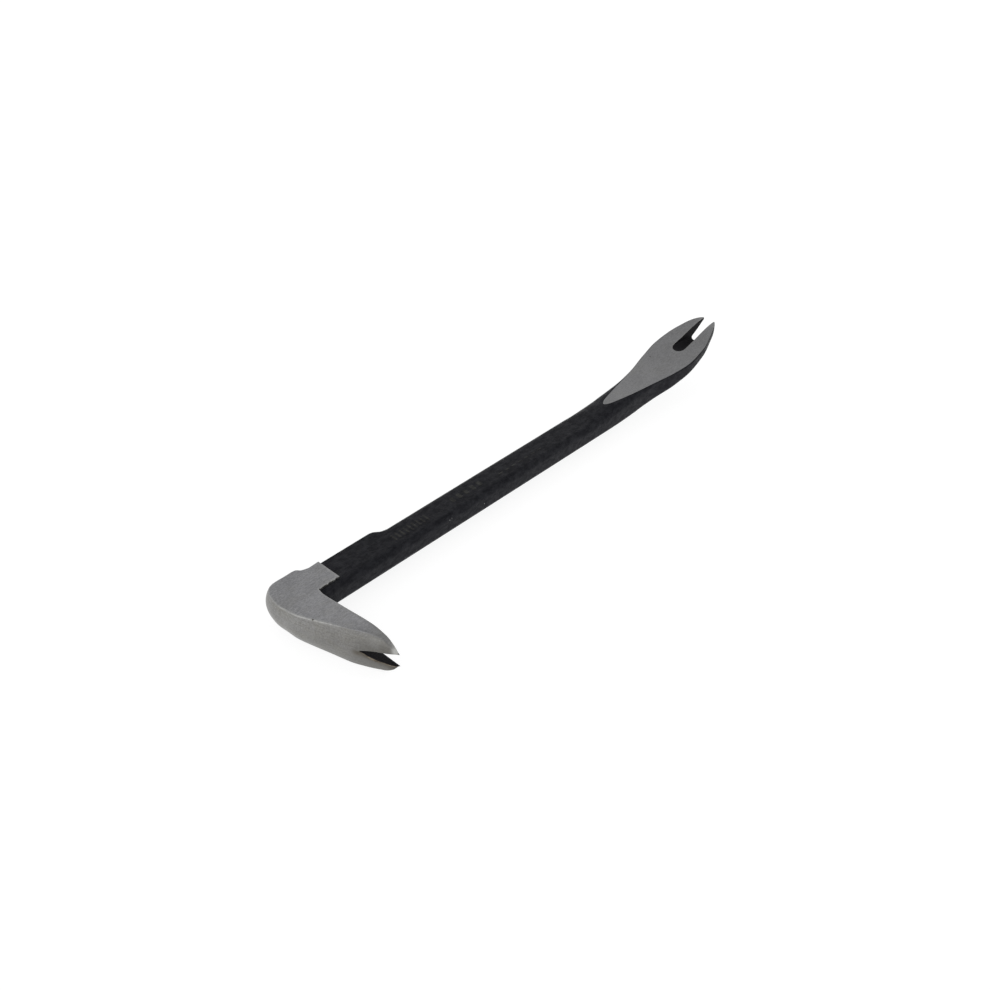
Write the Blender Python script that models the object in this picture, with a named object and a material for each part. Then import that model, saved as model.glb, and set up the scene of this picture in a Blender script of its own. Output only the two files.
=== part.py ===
"""Double-ended claw bar (pry bar): one drop-forged steel bar and the black coat on its shank.

Axes while drawing: +X along the shank towards the flat claw, +Z up, the hooked claw points to -Y.
The shank's centre line is the drawing's X axis. The finished model hangs on one empty that puts
the row origin at the middle of the underside of the object's box.
All sizes are in millimetres and are turned into metres where the meshes are made.
"""
import math

import bmesh
import bpy
import numpy as np

MM = 0.001

# Overall
LENGTH = 254.5
HEEL_X = -127.8
TIP_X = HEEL_X + LENGTH

# Shank: a rounded rectangle lying on its wide side
SHANK_WIDTH = 13.2
SHANK_THICK = 9.0
SHANK_CORNER = 2.6
HALF_WIDTH = SHANK_WIDTH / 2
HALF_THICK = SHANK_THICK / 2
FRONT_Y = -HALF_WIDTH
CORNER_STEPS = 5
STEP_STATIONS = 11
FLARE_STATIONS = 39
LEAF_STATIONS = 40

# Hooked head, the raised striking pad beside it and the ground flap that ends it
INNER_FACE_X = HEEL_X + 16.5
CLAW_TIP_Y = -47.5
HEEL_BACK_Y = 11.2
PAD_Y = 8.4
PAD_CORNER = 0.6
PAD_END_X = -76.5
PAD_STEP_END_X = -68.0
PAD_LAND = 0.2
FLAP_X = HEEL_X + 27.1
FLAP_FRONT_Y = FRONT_Y + SHANK_CORNER + 0.6
FACE_HALF_THICK = 5.4
FLAP_INNER_X = INNER_FACE_X + 0.7
LAND_END_X = -105.4
BACK_STEP = (-108.2, 9.5)
BAND_LEVELS = 9
HEAD_CLEAR_Z = 9.7

# Coat on the shank, drawn thicker than the real film, with the gap that touching solids keep
COAT = 0.3
GAP = 0.3
ROOM_GAP = 0.03
COAT_END_X = TIP_X - 6.0
TONGUE_X = INNER_FACE_X + 0.3
TONGUE_BEVEL = 0.5
LEAF_BELOW = 2.5
LEAF_ABOVE = 4.0
CLEAR = 30.0
ROOM_GROW = 1.0

# Hidden ends: where the bar and the coat start inside the head, and where their cutters run to
STEEL_START_X = INNER_FACE_X - 4.0
COAT_START_X = INNER_FACE_X - 2.0
COAT_CUTTER_START_X = INNER_FACE_X - 6.0
STEEL_CUTTER_START_X = INNER_FACE_X - 8.0
CUTTER_END_X = COAT_END_X + 1.0
LEAF_PLATE_END_X = TIP_X + 1.0
STATION_GAP = 0.05

# Slots: the head's is a V that opens towards its inner face, the flat claw's is a U whose floor
# runs out through the underside. A mouth is measured past the tips, where the cutter ends.
HEAD_SLOT_ROOT_Y = -33.9
HEAD_SLOT_ROOT_HALF = 0.25
HEAD_SLOT_MOUTH_HALF = 3.85
HEAD_SLOT_INNER_ROOT_Y = -27.5
HEAD_SLOT_INNER_HALF = 2.6
HEAD_SLOT_INNER_MOUTH_HALF = 2.7
HEAD_SLOT_NARROWS_IN = 6.6
HEAD_SLOT_LEAN = 0.38
HEAD_SLOT_OVER = 4.0
FAR_SLOT_ROOT_X = TIP_X - 24.3
FAR_SLOT_EXIT_X = TIP_X - 9.9
FAR_SLOT_HALF = 3.1
FAR_SLOT_EXIT_HALF = 2.4
FAR_SLOT_MOUTH_HALF = 2.65
FAR_SLOT_LEAN = 0.30
FAR_SLOT_LIP = 0.3
FAR_SLOT_OVER = 5.0
SLOT_ROOT_STEPS = 8

# Shapes that change along the bar, each a short list of (x, value) read by a smooth curve
BACK_SIDE = [(-104.0, PAD_Y), (PAD_END_X, PAD_Y), (-74.6, 8.2), (-71.6, 6.85), (PAD_STEP_END_X, HALF_WIDTH)]
BACK_CORNER = [(-104.0, PAD_CORNER), (PAD_END_X, PAD_CORNER), (PAD_STEP_END_X, SHANK_CORNER)]
FLARE = [(46.0, HALF_WIDTH), (62.0, 6.65), (70.0, 6.65), (78.0, 7.15), (92.0, 10.1), (101.0, 11.3),
         (110.0, 10.45), (118.0, 7.95), (123.0, 5.85), (126.0, 3.9), (TIP_X + 1.5, 1.8)]
TOP_Z = [(34.0, HALF_THICK), (53.0, 5.8), (72.0, 6.75), (83.0, 7.75), (95.0, 9.4), (109.0, 12.8),
         (TIP_X, 17.0)]
BOTTOM_Z = [(40.0, -HALF_THICK), (56.0, -4.7), (66.0, -4.5), (77.0, -3.4), (86.0, -1.5), (95.0, 1.2),
            (105.0, 4.9), (115.0, 9.3), (121.0, 12.4), (TIP_X + 3.0, 17.0)]
TOP_CORNER = [(34.0, SHANK_CORNER), (50.0, 3.0), (66.0, 2.6), (80.0, 1.0), (95.0, 0.5), (TIP_X, 0.1)]
BOTTOM_CORNER = [(46.0, SHANK_CORNER), (77.0, 3.6), (100.0, 3.8), (115.0, 2.6), (TIP_X, 0.1)]
LEAF_HALF = [(53.0, 0.4), (54.2, 1.3), (61.0, 3.2), (78.0, 6.6), (92.0, 9.7), (101.0, 10.95),
             (110.0, 10.2), (118.0, 7.75), (123.0, 5.6), (126.0, 3.85), (TIP_X + 1.5, 1.8)]
FACE_Z = [(-47.6, 2.7), (-45.2, 5.2), (-41.0, 7.8), (-34.5, 8.7), (-30.0, 8.4), (-22.0, 7.4),
          (-15.0, 6.6), (-9.0, 5.95), (-2.0, FACE_HALF_THICK), (16.0, FACE_HALF_THICK)]

# Head's edge between its side face and its outer band, from the back round the heel to the tip,
# as (x, y, crown): the crown is how far the band stands out beyond that edge at mid thickness.
HEAD_EDGE = [(-110.1, 11.1, 0.8), (-115.0, HEEL_BACK_Y, 1.1), (-120.3, 11.1, 1.4), (-123.3, 9.6, 1.5),
             (-125.2, 6.6, 1.5), (-126.3, 1.5, 1.5), (-126.1, -3.5, 1.6), (-125.5, -8.9, 1.7),
             (-123.5, -15.3, 1.6), (-121.0, -22.4, 1.5), (-118.4, -29.9, 1.5), (-116.3, -34.5, 1.5),
             (-114.0, -40.7, 1.2), (-113.2, -44.0, 0.8), (-112.4, -46.2, 0.4), (-111.5, CLAW_TIP_Y, 0.1)]
HEAD_EDGE_STEPS = 3

# Places in y where the head's side faces are drawn, as (start, end, how many)
TIP_ZONE = (-48.2, -40.0, 14)
BODY_ZONE = (-38.0, -2.0, 16)

# Most that the band falls back from its crest at mid thickness, as a share of the crown
BAND_REACH = 1.5

# The flat claw's lower corners grow wider than they are tall, up to a share of the half width.
LOW_CORNER_SPREAD = [(34.0, 1.0), (60.0, 1.3)]
LOW_CORNER_SHARE = 0.8

STEEL = (0.30, 0.30, 0.31, 1.0)
BLACK = (0.016, 0.016, 0.018, 1.0)


def smooth(points, x):
    """Value at x on a curve through the points that never overshoots them (monotone cubic)."""
    xs = np.array([p[0] for p in points])
    ys = np.array([p[1] for p in points])
    x = min(max(x, xs[0]), xs[-1])
    steps = np.diff(xs)
    slopes = np.diff(ys) / steps
    tangents = np.zeros(len(xs))
    for i in range(1, len(xs) - 1):
        if slopes[i - 1] * slopes[i] > 0.0:
            left = 2.0 * steps[i] + steps[i - 1]
            right = steps[i] + 2.0 * steps[i - 1]
            tangents[i] = (left + right) / (left / slopes[i - 1] + right / slopes[i])
    i = int(min(np.searchsorted(xs, x, side="right") - 1, len(xs) - 2))
    t = (x - xs[i]) / steps[i]
    start = (1 + 2 * t) * (1 - t) ** 2 * ys[i] + t * (1 - t) ** 2 * steps[i] * tangents[i]
    end = t * t * (3 - 2 * t) * ys[i + 1] + t * t * (t - 1) * steps[i] * tangents[i + 1]
    return float(start + end)


def rounded(points, steps):
    """Points of a Catmull-Rom curve through the given points."""
    pts = [np.array(p, dtype=float) for p in points]
    pts = [2 * pts[0] - pts[1]] + pts + [2 * pts[-1] - pts[-2]]
    out = []
    for i in range(1, len(pts) - 2):
        a, b, c, d = pts[i - 1], pts[i], pts[i + 1], pts[i + 2]
        for k in range(steps):
            t = k / steps
            out.append(0.5 * (2 * b + (c - a) * t + (2 * a - 5 * b + 4 * c - d) * t * t
                              + (3 * b - a - 3 * c + d) * t ** 3))
    out.append(pts[-2])
    return out


def material(name, colour, roughness, metallic):
    """A Principled BSDF material."""
    mat = bpy.data.materials.new(name)
    mat.use_nodes = True
    shader = mat.node_tree.nodes["Principled BSDF"]
    shader.inputs["Base Color"].default_value = colour
    shader.inputs["Roughness"].default_value = roughness
    shader.inputs["Metallic"].default_value = metallic
    mat.diffuse_color = colour
    return mat


def make_object(name, bm, parent, mat=None):
    """Turn a bmesh drawn in millimetres into an object in metres."""
    bmesh.ops.recalc_face_normals(bm, faces=bm.faces)
    for vert in bm.verts:
        vert.co *= MM
    mesh = bpy.data.meshes.new(name)
    bm.to_mesh(mesh)
    bm.free()
    obj = bpy.data.objects.new(name, mesh)
    bpy.context.collection.objects.link(obj)
    obj.parent = parent
    if mat:
        mesh.materials.append(mat)
    else:
        obj.hide_render = True
        obj.display_type = "WIRE"
    return obj


def loft(rings):
    """Closed skin over a list of equal rings of 3-D points, with flat ends."""
    bm = bmesh.new()
    rows = [[bm.verts.new(p) for p in ring] for ring in rings]
    count = len(rows[0])
    for a, b in zip(rows, rows[1:]):
        for i in range(count):
            j = (i + 1) % count
            bm.faces.new((a[i], a[j], b[j], b[i]))
    bmesh.ops.triangulate(bm, faces=bm.faces[:])
    bm.faces.new(rows[0])
    bm.faces.new(reversed(rows[-1]))
    return bm


def boolean(obj, cutter, operation):
    """Leave an exact Boolean modifier on the object."""
    mod = obj.modifiers.new(cutter.name, "BOOLEAN")
    mod.operation = operation
    mod.solver = "EXACT"
    mod.object = cutter


def corner(centre_y, centre_z, half_y, half_z, start):
    """Points of a quarter ellipse that starts at the angle start and turns clockwise."""
    out = []
    for k in range(CORNER_STEPS + 1):
        angle = start - math.pi / 2 * k / CORNER_STEPS
        out.append((centre_y + half_y * math.cos(angle), centre_z + half_z * math.sin(angle)))
    return out


def bar_section(x, inset):
    """Cross-section of the shank and the flat claw at x, shrunk by inset on every side."""
    flared = x > TOP_Z[0][0]
    half = smooth(FLARE, x)
    back = half if flared else smooth(BACK_SIDE, x)
    top = smooth(TOP_Z, x)
    bottom = smooth(BOTTOM_Z, x)
    leaf = smooth(LEAF_HALF, x)
    drop = smooth(TOP_CORNER, x)
    rise = smooth(BOTTOM_CORNER, x)
    # The crown's flat narrows from the shank's to the leaf's start, then follows the leaf.
    shank_flat = HALF_WIDTH - SHANK_CORNER
    blend = min(max((x - TOP_Z[0][0]) / (LEAF_HALF[0][0] - TOP_Z[0][0]), 0.0), 1.0)
    flat = shank_flat + (leaf - shank_flat) * blend
    back_round = half - flat if flared else smooth(BACK_CORNER, x)
    front_round = half - flat
    back_drop = drop if flared else smooth(BACK_CORNER, x)
    low_round = min(rise * smooth(LOW_CORNER_SPREAD, x), half * LOW_CORNER_SHARE)
    back_low = low_round if flared else back_round
    back_rise = rise if flared else back_round
    back, front, top, bottom = back - inset, half - inset, top - inset, bottom + inset
    ring = []
    ring += corner(back - back_round, top - back_drop, back_round, back_drop, math.pi / 2)
    ring += corner(back - back_low, bottom + back_rise, back_low, back_rise, 0.0)
    ring += corner(-front + low_round, bottom + rise, low_round, rise, -math.pi / 2)
    ring += corner(-front + front_round, top - drop, front_round, drop, math.pi)
    return [(x, y, z) for y, z in ring]


def bar_stations(start, end):
    """Places along the bar: close together where its shape changes."""
    step_zone = np.linspace(PAD_END_X, PAD_STEP_END_X, STEP_STATIONS)
    flare_zone = np.linspace(TOP_Z[0][0], TIP_X, FLARE_STATIONS)
    inner = [x for x in list(step_zone) + list(flare_zone) if start + STATION_GAP < x < end - STATION_GAP]
    return [start] + inner + [end]


def bar_loft(start, end, inset):
    """Bar from start to end, the same inset all along."""
    return loft([bar_section(x, inset) for x in bar_stations(start, end)])


def leaf_plate(grow):
    """Block through the flat claw's ground leaf, its outline grown by grow."""
    rings = []
    for x in np.linspace(LEAF_HALF[0][0] - grow, LEAF_PLATE_END_X, LEAF_STATIONS):
        half = smooth(LEAF_HALF, x) + grow
        low = smooth(TOP_Z, x) - LEAF_BELOW
        high = smooth(TOP_Z, x) + LEAF_ABOVE
        rings.append([(x, -half, low), (x, half, low), (x, half, high), (x, -half, high)])
    return loft(rings)


def head_outline(z):
    """Plan outline of the head at height z, its outer band crowned at mid thickness."""
    edge = rounded(HEAD_EDGE, HEAD_EDGE_STEPS)
    band = []
    for i, (x, y, crown) in enumerate(edge):
        along = edge[min(i + 1, len(edge) - 1)][:2] - edge[max(i - 1, 0)][:2]
        along = along / np.linalg.norm(along)
        out = crown * (1.0 - min((z / smooth(FACE_Z, y)) ** 2, BAND_REACH))
        band.append((x + out * along[1], y - out * along[0]))
    pad_back = PAD_Y + PAD_LAND
    back = [(FLAP_X, pad_back), (LAND_END_X, pad_back), BACK_STEP]
    inner = [(INNER_FACE_X, band[-1][1]), (INNER_FACE_X, FRONT_Y),
             (FLAP_INNER_X, FLAP_FRONT_Y), (FLAP_X, FLAP_FRONT_Y)]
    return back + band + inner


def head_blank():
    """Head before its sides are ground: a plan outline with a crowned outer band."""
    levels = [HEAD_CLEAR_Z * k / BAND_LEVELS for k in range(-BAND_LEVELS, BAND_LEVELS + 1)]
    return loft([[(x, y, z) for x, y in head_outline(z)] for z in levels])


def side_faces():
    """Prism between the head's two side faces, which widen to the claw and close at its tips."""
    ys = [*np.linspace(*TIP_ZONE), *np.linspace(*BODY_ZONE), FACE_Z[-1][0]]
    profile = [(y, smooth(FACE_Z, y)) for y in ys]
    ring = profile + [(y, -z) for y, z in reversed(profile)]
    return loft([[(x, y, z) for y, z in ring] for x in (HEEL_X - CLEAR, FLAP_X + CLEAR)])


def slot_outline(root, end, root_half, mouth_half):
    """Plan of a slot as (distance, half width offset) pairs: a round root and two straight sides."""
    points = [(end, -mouth_half)]
    for k in range(SLOT_ROOT_STEPS + 1):
        angle = math.pi * (k / SLOT_ROOT_STEPS - 0.5)
        points.append((root + root_half * (1.0 - math.cos(angle)), root_half * math.sin(angle)))
    points.append((end, mouth_half))
    return points


def head_slot():
    """V slot of the hooked claw: wide on its inner face, narrow from mid depth to its outer band."""
    reach = -CLAW_TIP_Y + HEAD_SLOT_OVER
    wide = slot_outline(-HEAD_SLOT_INNER_ROOT_Y, reach, HEAD_SLOT_INNER_HALF, HEAD_SLOT_INNER_MOUTH_HALF)
    narrow = slot_outline(-HEAD_SLOT_ROOT_Y, reach, HEAD_SLOT_ROOT_HALF, HEAD_SLOT_MOUTH_HALF)
    leaned = [(d, w, HEAD_SLOT_LEAN * (d + HEAD_SLOT_ROOT_Y)) for d, w in narrow]
    narrows_x = INNER_FACE_X - HEAD_SLOT_NARROWS_IN
    rings = [[(INNER_FACE_X + HEAD_SLOT_OVER, -d, w) for d, w in wide],
             [(INNER_FACE_X, -d, w) for d, w in wide],
             [(narrows_x + lean, -d, w) for d, w, lean in leaned],
             [(narrows_x + lean - SHANK_WIDTH, -d, w) for d, w, lean in leaned]]
    return loft(rings)


def far_slot():
    """U slot of the flat claw: a channel whose floor runs out through the underside."""
    reach = TIP_X + FAR_SLOT_OVER
    wide = slot_outline(FAR_SLOT_ROOT_X, reach, FAR_SLOT_HALF, FAR_SLOT_MOUTH_HALF)
    narrow = slot_outline(FAR_SLOT_EXIT_X, reach, FAR_SLOT_EXIT_HALF, FAR_SLOT_MOUTH_HALF)
    lip_z = smooth(TOP_Z, FAR_SLOT_ROOT_X) - FAR_SLOT_LIP
    exit_z = smooth(BOTTOM_Z, FAR_SLOT_EXIT_X)
    upper = [(x, w, lip_z + FAR_SLOT_LEAN * (x - FAR_SLOT_ROOT_X)) for x, w in wide]
    lower = [(x, w, exit_z + FAR_SLOT_LEAN * (x - FAR_SLOT_EXIT_X)) for x, w in narrow]
    rings = [[(x, w, z + FAR_SLOT_OVER) for x, w, z in upper],
             upper,
             lower,
             [(x, w, z - FAR_SLOT_OVER) for x, w, z in lower]]
    return loft(rings)


def coat_region(gap):
    """Space of the coat, from the ground flap to near the tips, less gap at each of its ends."""
    start_x = TONGUE_X + gap
    flap_x = FLAP_X + gap
    end_x = COAT_END_X - gap
    flap_y = FLAP_FRONT_Y - gap
    outline = [(end_x, -CLEAR), (end_x, CLEAR), (flap_x, CLEAR), (flap_x, flap_y),
               (start_x + TONGUE_BEVEL, flap_y), (start_x, FRONT_Y), (start_x, -CLEAR)]
    return loft([[(x, y, z) for x, y in outline] for z in (-CLEAR, CLEAR)])


def finish(obj):
    """Smooth shading with sharp edges kept."""
    obj.data.shade_smooth()
    obj.data.set_sharp_from_angle(angle=math.radians(30.0))


def coat_room(origin):
    """Cutter that lowers the steel under the coat, but not on the ground leaf."""
    room = make_object("coat_room", bar_loft(COAT_CUTTER_START_X, TIP_X, -ROOM_GROW), origin)
    core = make_object("steel_core", bar_loft(STEEL_CUTTER_START_X, CUTTER_END_X, COAT + GAP), origin)
    boolean(room, make_object("room_region", coat_region(ROOM_GAP), origin), "INTERSECT")
    boolean(room, core, "DIFFERENCE")
    boolean(room, make_object("leaf_land", leaf_plate(-GAP), origin), "DIFFERENCE")
    return room


def build_steel(origin, slots):
    """The one forging."""
    steel = make_object("forged_bar", bar_loft(STEEL_START_X, TIP_X, 0.0), origin,
                        material("ground_steel", STEEL, 0.42, 1.0))
    blank = make_object("head_blank", head_blank(), origin)
    boolean(blank, make_object("side_faces", side_faces(), origin), "INTERSECT")
    boolean(steel, blank, "UNION")
    boolean(steel, coat_room(origin), "DIFFERENCE")
    for slot in slots:
        boolean(steel, slot, "DIFFERENCE")
    finish(steel)


def build_coat(origin, far_slot_cutter):
    """The black coat, a thin sleeve round the shank and under the flat claw."""
    coat = make_object("black_coating", bar_loft(COAT_START_X, TIP_X, 0.0), origin,
                       material("black_coat", BLACK, 0.45, 0.0))
    core = make_object("coat_core", bar_loft(COAT_CUTTER_START_X, CUTTER_END_X, COAT), origin)
    boolean(coat, make_object("coat_region", coat_region(GAP), origin), "INTERSECT")
    boolean(coat, core, "DIFFERENCE")
    boolean(coat, make_object("leaf_window", leaf_plate(0.0), origin), "DIFFERENCE")
    boolean(coat, far_slot_cutter, "DIFFERENCE")
    finish(coat)


def main():
    for old in list(bpy.data.objects):
        bpy.data.objects.remove(old, do_unlink=True)
    origin = bpy.data.objects.new("origin", None)
    bpy.context.collection.objects.link(origin)
    widest = max(z for _, z in FACE_Z)
    back = max(y + crown for _, y, crown in HEAD_EDGE)
    origin.location = (-(HEEL_X + TIP_X) / 2 * MM, -(CLAW_TIP_Y + back) / 2 * MM, widest * MM)
    slots = [make_object("head_slot", head_slot(), origin), make_object("far_slot", far_slot(), origin)]
    build_steel(origin, slots)
    build_coat(origin, slots[1])


main()
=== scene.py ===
"""Looks of the double-ended claw bar: fine surfaces, materials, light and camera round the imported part.

Shapes are drawn in millimetres in the frame of the part's source: the shank's centre line is the X
axis, +Z is up and the hooked claw points to -Y. They are moved to the row frame, in metres, where
the meshes are made. The forging and its black coat are one piece each, as on the part.
"""
import math

import bmesh
import bpy
import numpy as np
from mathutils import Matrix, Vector
from mathutils.geometry import delaunay_2d_cdt
from mathutils.kdtree import KDTree

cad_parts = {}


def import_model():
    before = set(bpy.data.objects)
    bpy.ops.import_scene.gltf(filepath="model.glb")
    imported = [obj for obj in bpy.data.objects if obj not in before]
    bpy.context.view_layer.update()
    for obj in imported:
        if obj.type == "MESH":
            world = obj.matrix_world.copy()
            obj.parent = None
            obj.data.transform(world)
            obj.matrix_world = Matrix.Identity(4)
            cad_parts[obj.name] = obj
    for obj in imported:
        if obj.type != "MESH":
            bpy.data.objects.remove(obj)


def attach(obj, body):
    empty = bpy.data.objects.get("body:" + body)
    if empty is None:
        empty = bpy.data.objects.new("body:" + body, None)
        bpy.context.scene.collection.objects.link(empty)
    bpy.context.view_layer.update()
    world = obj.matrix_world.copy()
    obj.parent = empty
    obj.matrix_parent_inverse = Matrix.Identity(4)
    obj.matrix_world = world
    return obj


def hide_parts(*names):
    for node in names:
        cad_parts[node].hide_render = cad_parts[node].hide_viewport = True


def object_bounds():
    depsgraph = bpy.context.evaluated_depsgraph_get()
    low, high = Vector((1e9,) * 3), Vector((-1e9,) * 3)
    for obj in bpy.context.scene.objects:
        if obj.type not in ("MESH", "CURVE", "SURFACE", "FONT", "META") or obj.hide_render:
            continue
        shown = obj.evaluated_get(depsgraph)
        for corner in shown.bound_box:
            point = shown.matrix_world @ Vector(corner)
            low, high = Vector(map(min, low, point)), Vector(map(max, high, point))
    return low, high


MM = 0.001

# Overall, as on the part
LENGTH = 254.5
HEEL_X = -127.8
TIP_X = HEEL_X + LENGTH
SHANK_WIDTH = 13.2
SHANK_THICK = 9.0
SHANK_CORNER = 2.6
HALF_WIDTH = SHANK_WIDTH / 2
HALF_THICK = SHANK_THICK / 2
FRONT_Y = -HALF_WIDTH

# Hooked head, pad and flap. FLAP_WAVES is (height, period, phase) of the flap's wavy front edge
INNER_FACE_X = HEEL_X + 16.5
CLAW_TIP_Y = -47.5
HEEL_BACK_Y = 11.2
PAD_Y = 8.4
PAD_CORNER = 0.6
PAD_END_X = -76.5
PAD_STEP_END_X = -68.0
PAD_LAND = 0.2
FLAP_X = HEEL_X + 27.1
FLAP_FRONT_Y = FRONT_Y + SHANK_CORNER + 0.6
FLAP_WAVES = [(0.16, 3.1, 0.6), (0.10, 1.7, 2.1)]
FACE_HALF_THICK = 5.4
FLAP_INNER_X = INNER_FACE_X + 0.7
LAND_END_X = -105.4
BACK_STEP = (-108.2, 9.5)

# Coat: a real film's thickness, the hairline that parts it from the steel, and where it lies
COAT = 0.14
HAIRLINE = 0.02
TONGUE_X = INNER_FACE_X + 0.3
COAT_END_X = TIP_X - 6.0
LEAF_BELOW = 2.5
LEAF_ABOVE = 4.0
CLEAR = 30.0

# Steel faces that stay unground: slack round the leaf, the height that the hook's root stays under,
# and how squarely a face looks up or along the shank, as a part of its normal
RIM_SLACK = 0.05
ROOT_TOP_Z = HALF_THICK + 0.01
FACES_UP = 0.5
FACES_SHANK = 0.7

# Where the bar and its cutters start inside the head, how far the coat's room stands out from the bar,
# and how far cutters run past the ends they cut
BAR_START_X = INNER_FACE_X - 4.0
COAT_START_X = INNER_FACE_X - 2.0
ROOM_START_X = INNER_FACE_X - 6.0
CORE_START_X = INNER_FACE_X - 8.0
ROOM_OUTSET = 1.0
CUT_OVER = 1.0

# Shallow valley that the forging dies left along the front corner of the shank's top
VALLEY_Y = -4.5
VALLEY_HALF = 0.75
VALLEY_WANDER = 0.25
VALLEY_PERIOD = 9.0
VALLEY_DEPTH = [(-97.0, 0.0), (-88.0, 0.035), (-20.0, 0.045), (12.0, 0.035), (34.0, 0.0)]

# Slots. LOW_ROLL is (y, spread) along the lower side of the head's slot, where spread is how far the
# rolled edge reaches sideways for each millimetre of its depth
HEAD_SLOT_ROOT_Y = -33.9
HEAD_SLOT_ROOT_HALF = 0.25
HEAD_SLOT_MOUTH_HALF = 3.85
HEAD_SLOT_INNER_ROOT_Y = -27.5
HEAD_SLOT_INNER_HALF = 2.6
HEAD_SLOT_INNER_MOUTH_HALF = 2.7
HEAD_SLOT_NARROWS_IN = 6.6
HEAD_SLOT_LEAN = 0.38
HEAD_SLOT_OVER = 4.0
HEAD_SLOT_REACH = -CLAW_TIP_Y + HEAD_SLOT_OVER
HEAD_SLOT_CHAMFER = 0.5
EDGE_TURN = math.radians(78)
EDGE_STEPS = 6
DARK_STEPS = 4
TINTED_STEPS = 2
EDGE_ROLL = 0.3
LOW_ROLL = [(-47.0, 1.0), (-43.5, 1.5), (-40.0, 4.0), (-36.5, 3.0), (HEAD_SLOT_ROOT_Y, EDGE_ROLL)]
EDGE_GROWTH = 3.5
RIM_ROUNDS = 6
CHAMFER_SHARE = 0.3
ROOT_CHAMFER_SHARE = 0.4
FAR_SLOT_ROOT_X = TIP_X - 24.3
FAR_SLOT_EXIT_X = TIP_X - 9.9
FAR_SLOT_HALF = 3.1
FAR_SLOT_EXIT_HALF = 2.4
FAR_SLOT_MOUTH_HALF = 2.65
FAR_SLOT_LEAN = 0.30
FAR_SLOT_LIP = 0.3
FAR_SLOT_OVER = 5.0
FAR_SLOT_CHAMFER = 0.10
SLOT_ROOT_STEPS = 20
SLOT_SIDE_STEPS = 12

# Fineness of the meshes, and the angle in degrees beyond which an edge is shaded sharp
STATION_GAP = 0.05
CORNER_STEPS = 9
FLAT_STEPS = 12
CORE_CORNER_STEPS = 5
CORE_FLAT_STEPS = 2
FINE_STEP = 1.0
CORE_STEP = 3.0
HEAD_EDGE_STEPS = 9
RUN_STEP = 0.9
BAND_STEPS = 9
ROUND_STEPS = 5
FLAP_FRONT_STEPS = 30
CAP_GRID = 1.3
SHARP_ANGLE = 38.0

# Raised marks on the shank's top: plain ribs, dots and a broken line. MARK_PROFILE is (height, growth
# of the outline) from a mark's foot to its top
MARK_PROFILE = [(-0.06, 0.0), (0.02, 0.0), (0.08, -0.05), (0.11, -0.13)]
MARK_STEPS = 24
MARK_SQUARENESS = 0.6
RIB_RUN = (-71.0, -54.0)
RIB_COUNT = 9
RIB_Y = -0.6
RIB_HALF = 0.5
RIB_REACH = 1.9
DOT_RUN = (-39.0, -24.0)
DOT_COUNT = 5
DOT_Y = 0.0
DOT_HALF = 1.0
DOT_REACH = 1.5
DASH_RUN = (-13.0, 10.0)
DASH_COUNT = 7
DASH_Y = -1.4
DASH_HALF = 0.35
DASH_REACH = 1.2

# Wear of the ground rims, with a painted highlight along them and at the claw's tip: the head's as (y, wear
# and highlight), and the others' as one number
WEAR_AND_HIGHLIGHT_WIDTH = 0.75
HEAD_RIM_END_X = INNER_FACE_X - 1.0
RIM_WEAR_AND_HIGHLIGHT = [(CLAW_TIP_Y, 1.0), (-45.8, 0.9), (-43.5, 0.2), (-36.0, 0.0), (-29.0, 0.2), (-22.0, 0.75),
            (-14.0, 0.8), (-2.0, 0.7), (8.0, 0.4), (11.0, 0.25)]
FLAP_WEAR_AND_HIGHLIGHT = 0.45
LEAF_WEAR_AND_HIGHLIGHT = 0.12
FAR_SLOT_WEAR_AND_HIGHLIGHT = 0.15

# Radius of the head's ground edges: the band's as (y, radius), and the others' as one number
BAND_ROUND = [(-43.0, 1.1), (-37.0, 1.0), (-30.0, 0.6), (-22.0, 0.36), (-9.0, 0.42), (2.0, 0.5)]
INNER_ROUND = 0.22
FLAP_ROUND = 0.12
TIP_FADE = 8.0
TIP_SHARE = 0.1
BACK_STEP_CROWN = 0.3

# Shapes that change along the bar, each a short list of (x, value) read by a smooth curve
BACK_SIDE = [(-104.0, PAD_Y), (PAD_END_X, PAD_Y), (-74.6, 8.2), (-71.6, 6.85), (PAD_STEP_END_X, HALF_WIDTH)]
BACK_CORNER = [(-104.0, PAD_CORNER), (PAD_END_X, PAD_CORNER), (PAD_STEP_END_X, SHANK_CORNER)]
FLARE = [(46.0, HALF_WIDTH), (62.0, 6.65), (70.0, 6.65), (78.0, 7.15), (92.0, 10.1), (101.0, 11.3),
         (110.0, 10.45), (118.0, 7.95), (123.0, 5.85), (126.0, 3.9), (TIP_X + 1.5, 1.8)]
TOP_Z = [(34.0, HALF_THICK), (53.0, 5.8), (72.0, 6.75), (83.0, 7.75), (95.0, 9.4), (109.0, 12.8),
         (TIP_X, 17.0)]
BOTTOM_Z = [(40.0, -HALF_THICK), (56.0, -4.7), (66.0, -4.5), (77.0, -3.4), (86.0, -1.5), (95.0, 1.2),
            (105.0, 4.9), (115.0, 9.3), (121.0, 12.4), (TIP_X + 3.0, 17.0)]
TOP_CORNER = [(34.0, SHANK_CORNER), (50.0, 3.0), (66.0, 2.6), (80.0, 1.0), (95.0, 0.5), (TIP_X, 0.1)]
BOTTOM_CORNER = [(46.0, SHANK_CORNER), (77.0, 3.6), (100.0, 3.8), (115.0, 2.6), (TIP_X, 0.1)]
LEAF_HALF = [(53.0, 0.4), (54.2, 1.3), (61.0, 3.2), (78.0, 6.6), (92.0, 9.7), (101.0, 10.95),
             (110.0, 10.2), (118.0, 7.75), (123.0, 5.6), (126.0, 3.85), (TIP_X + 1.5, 1.8)]
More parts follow.
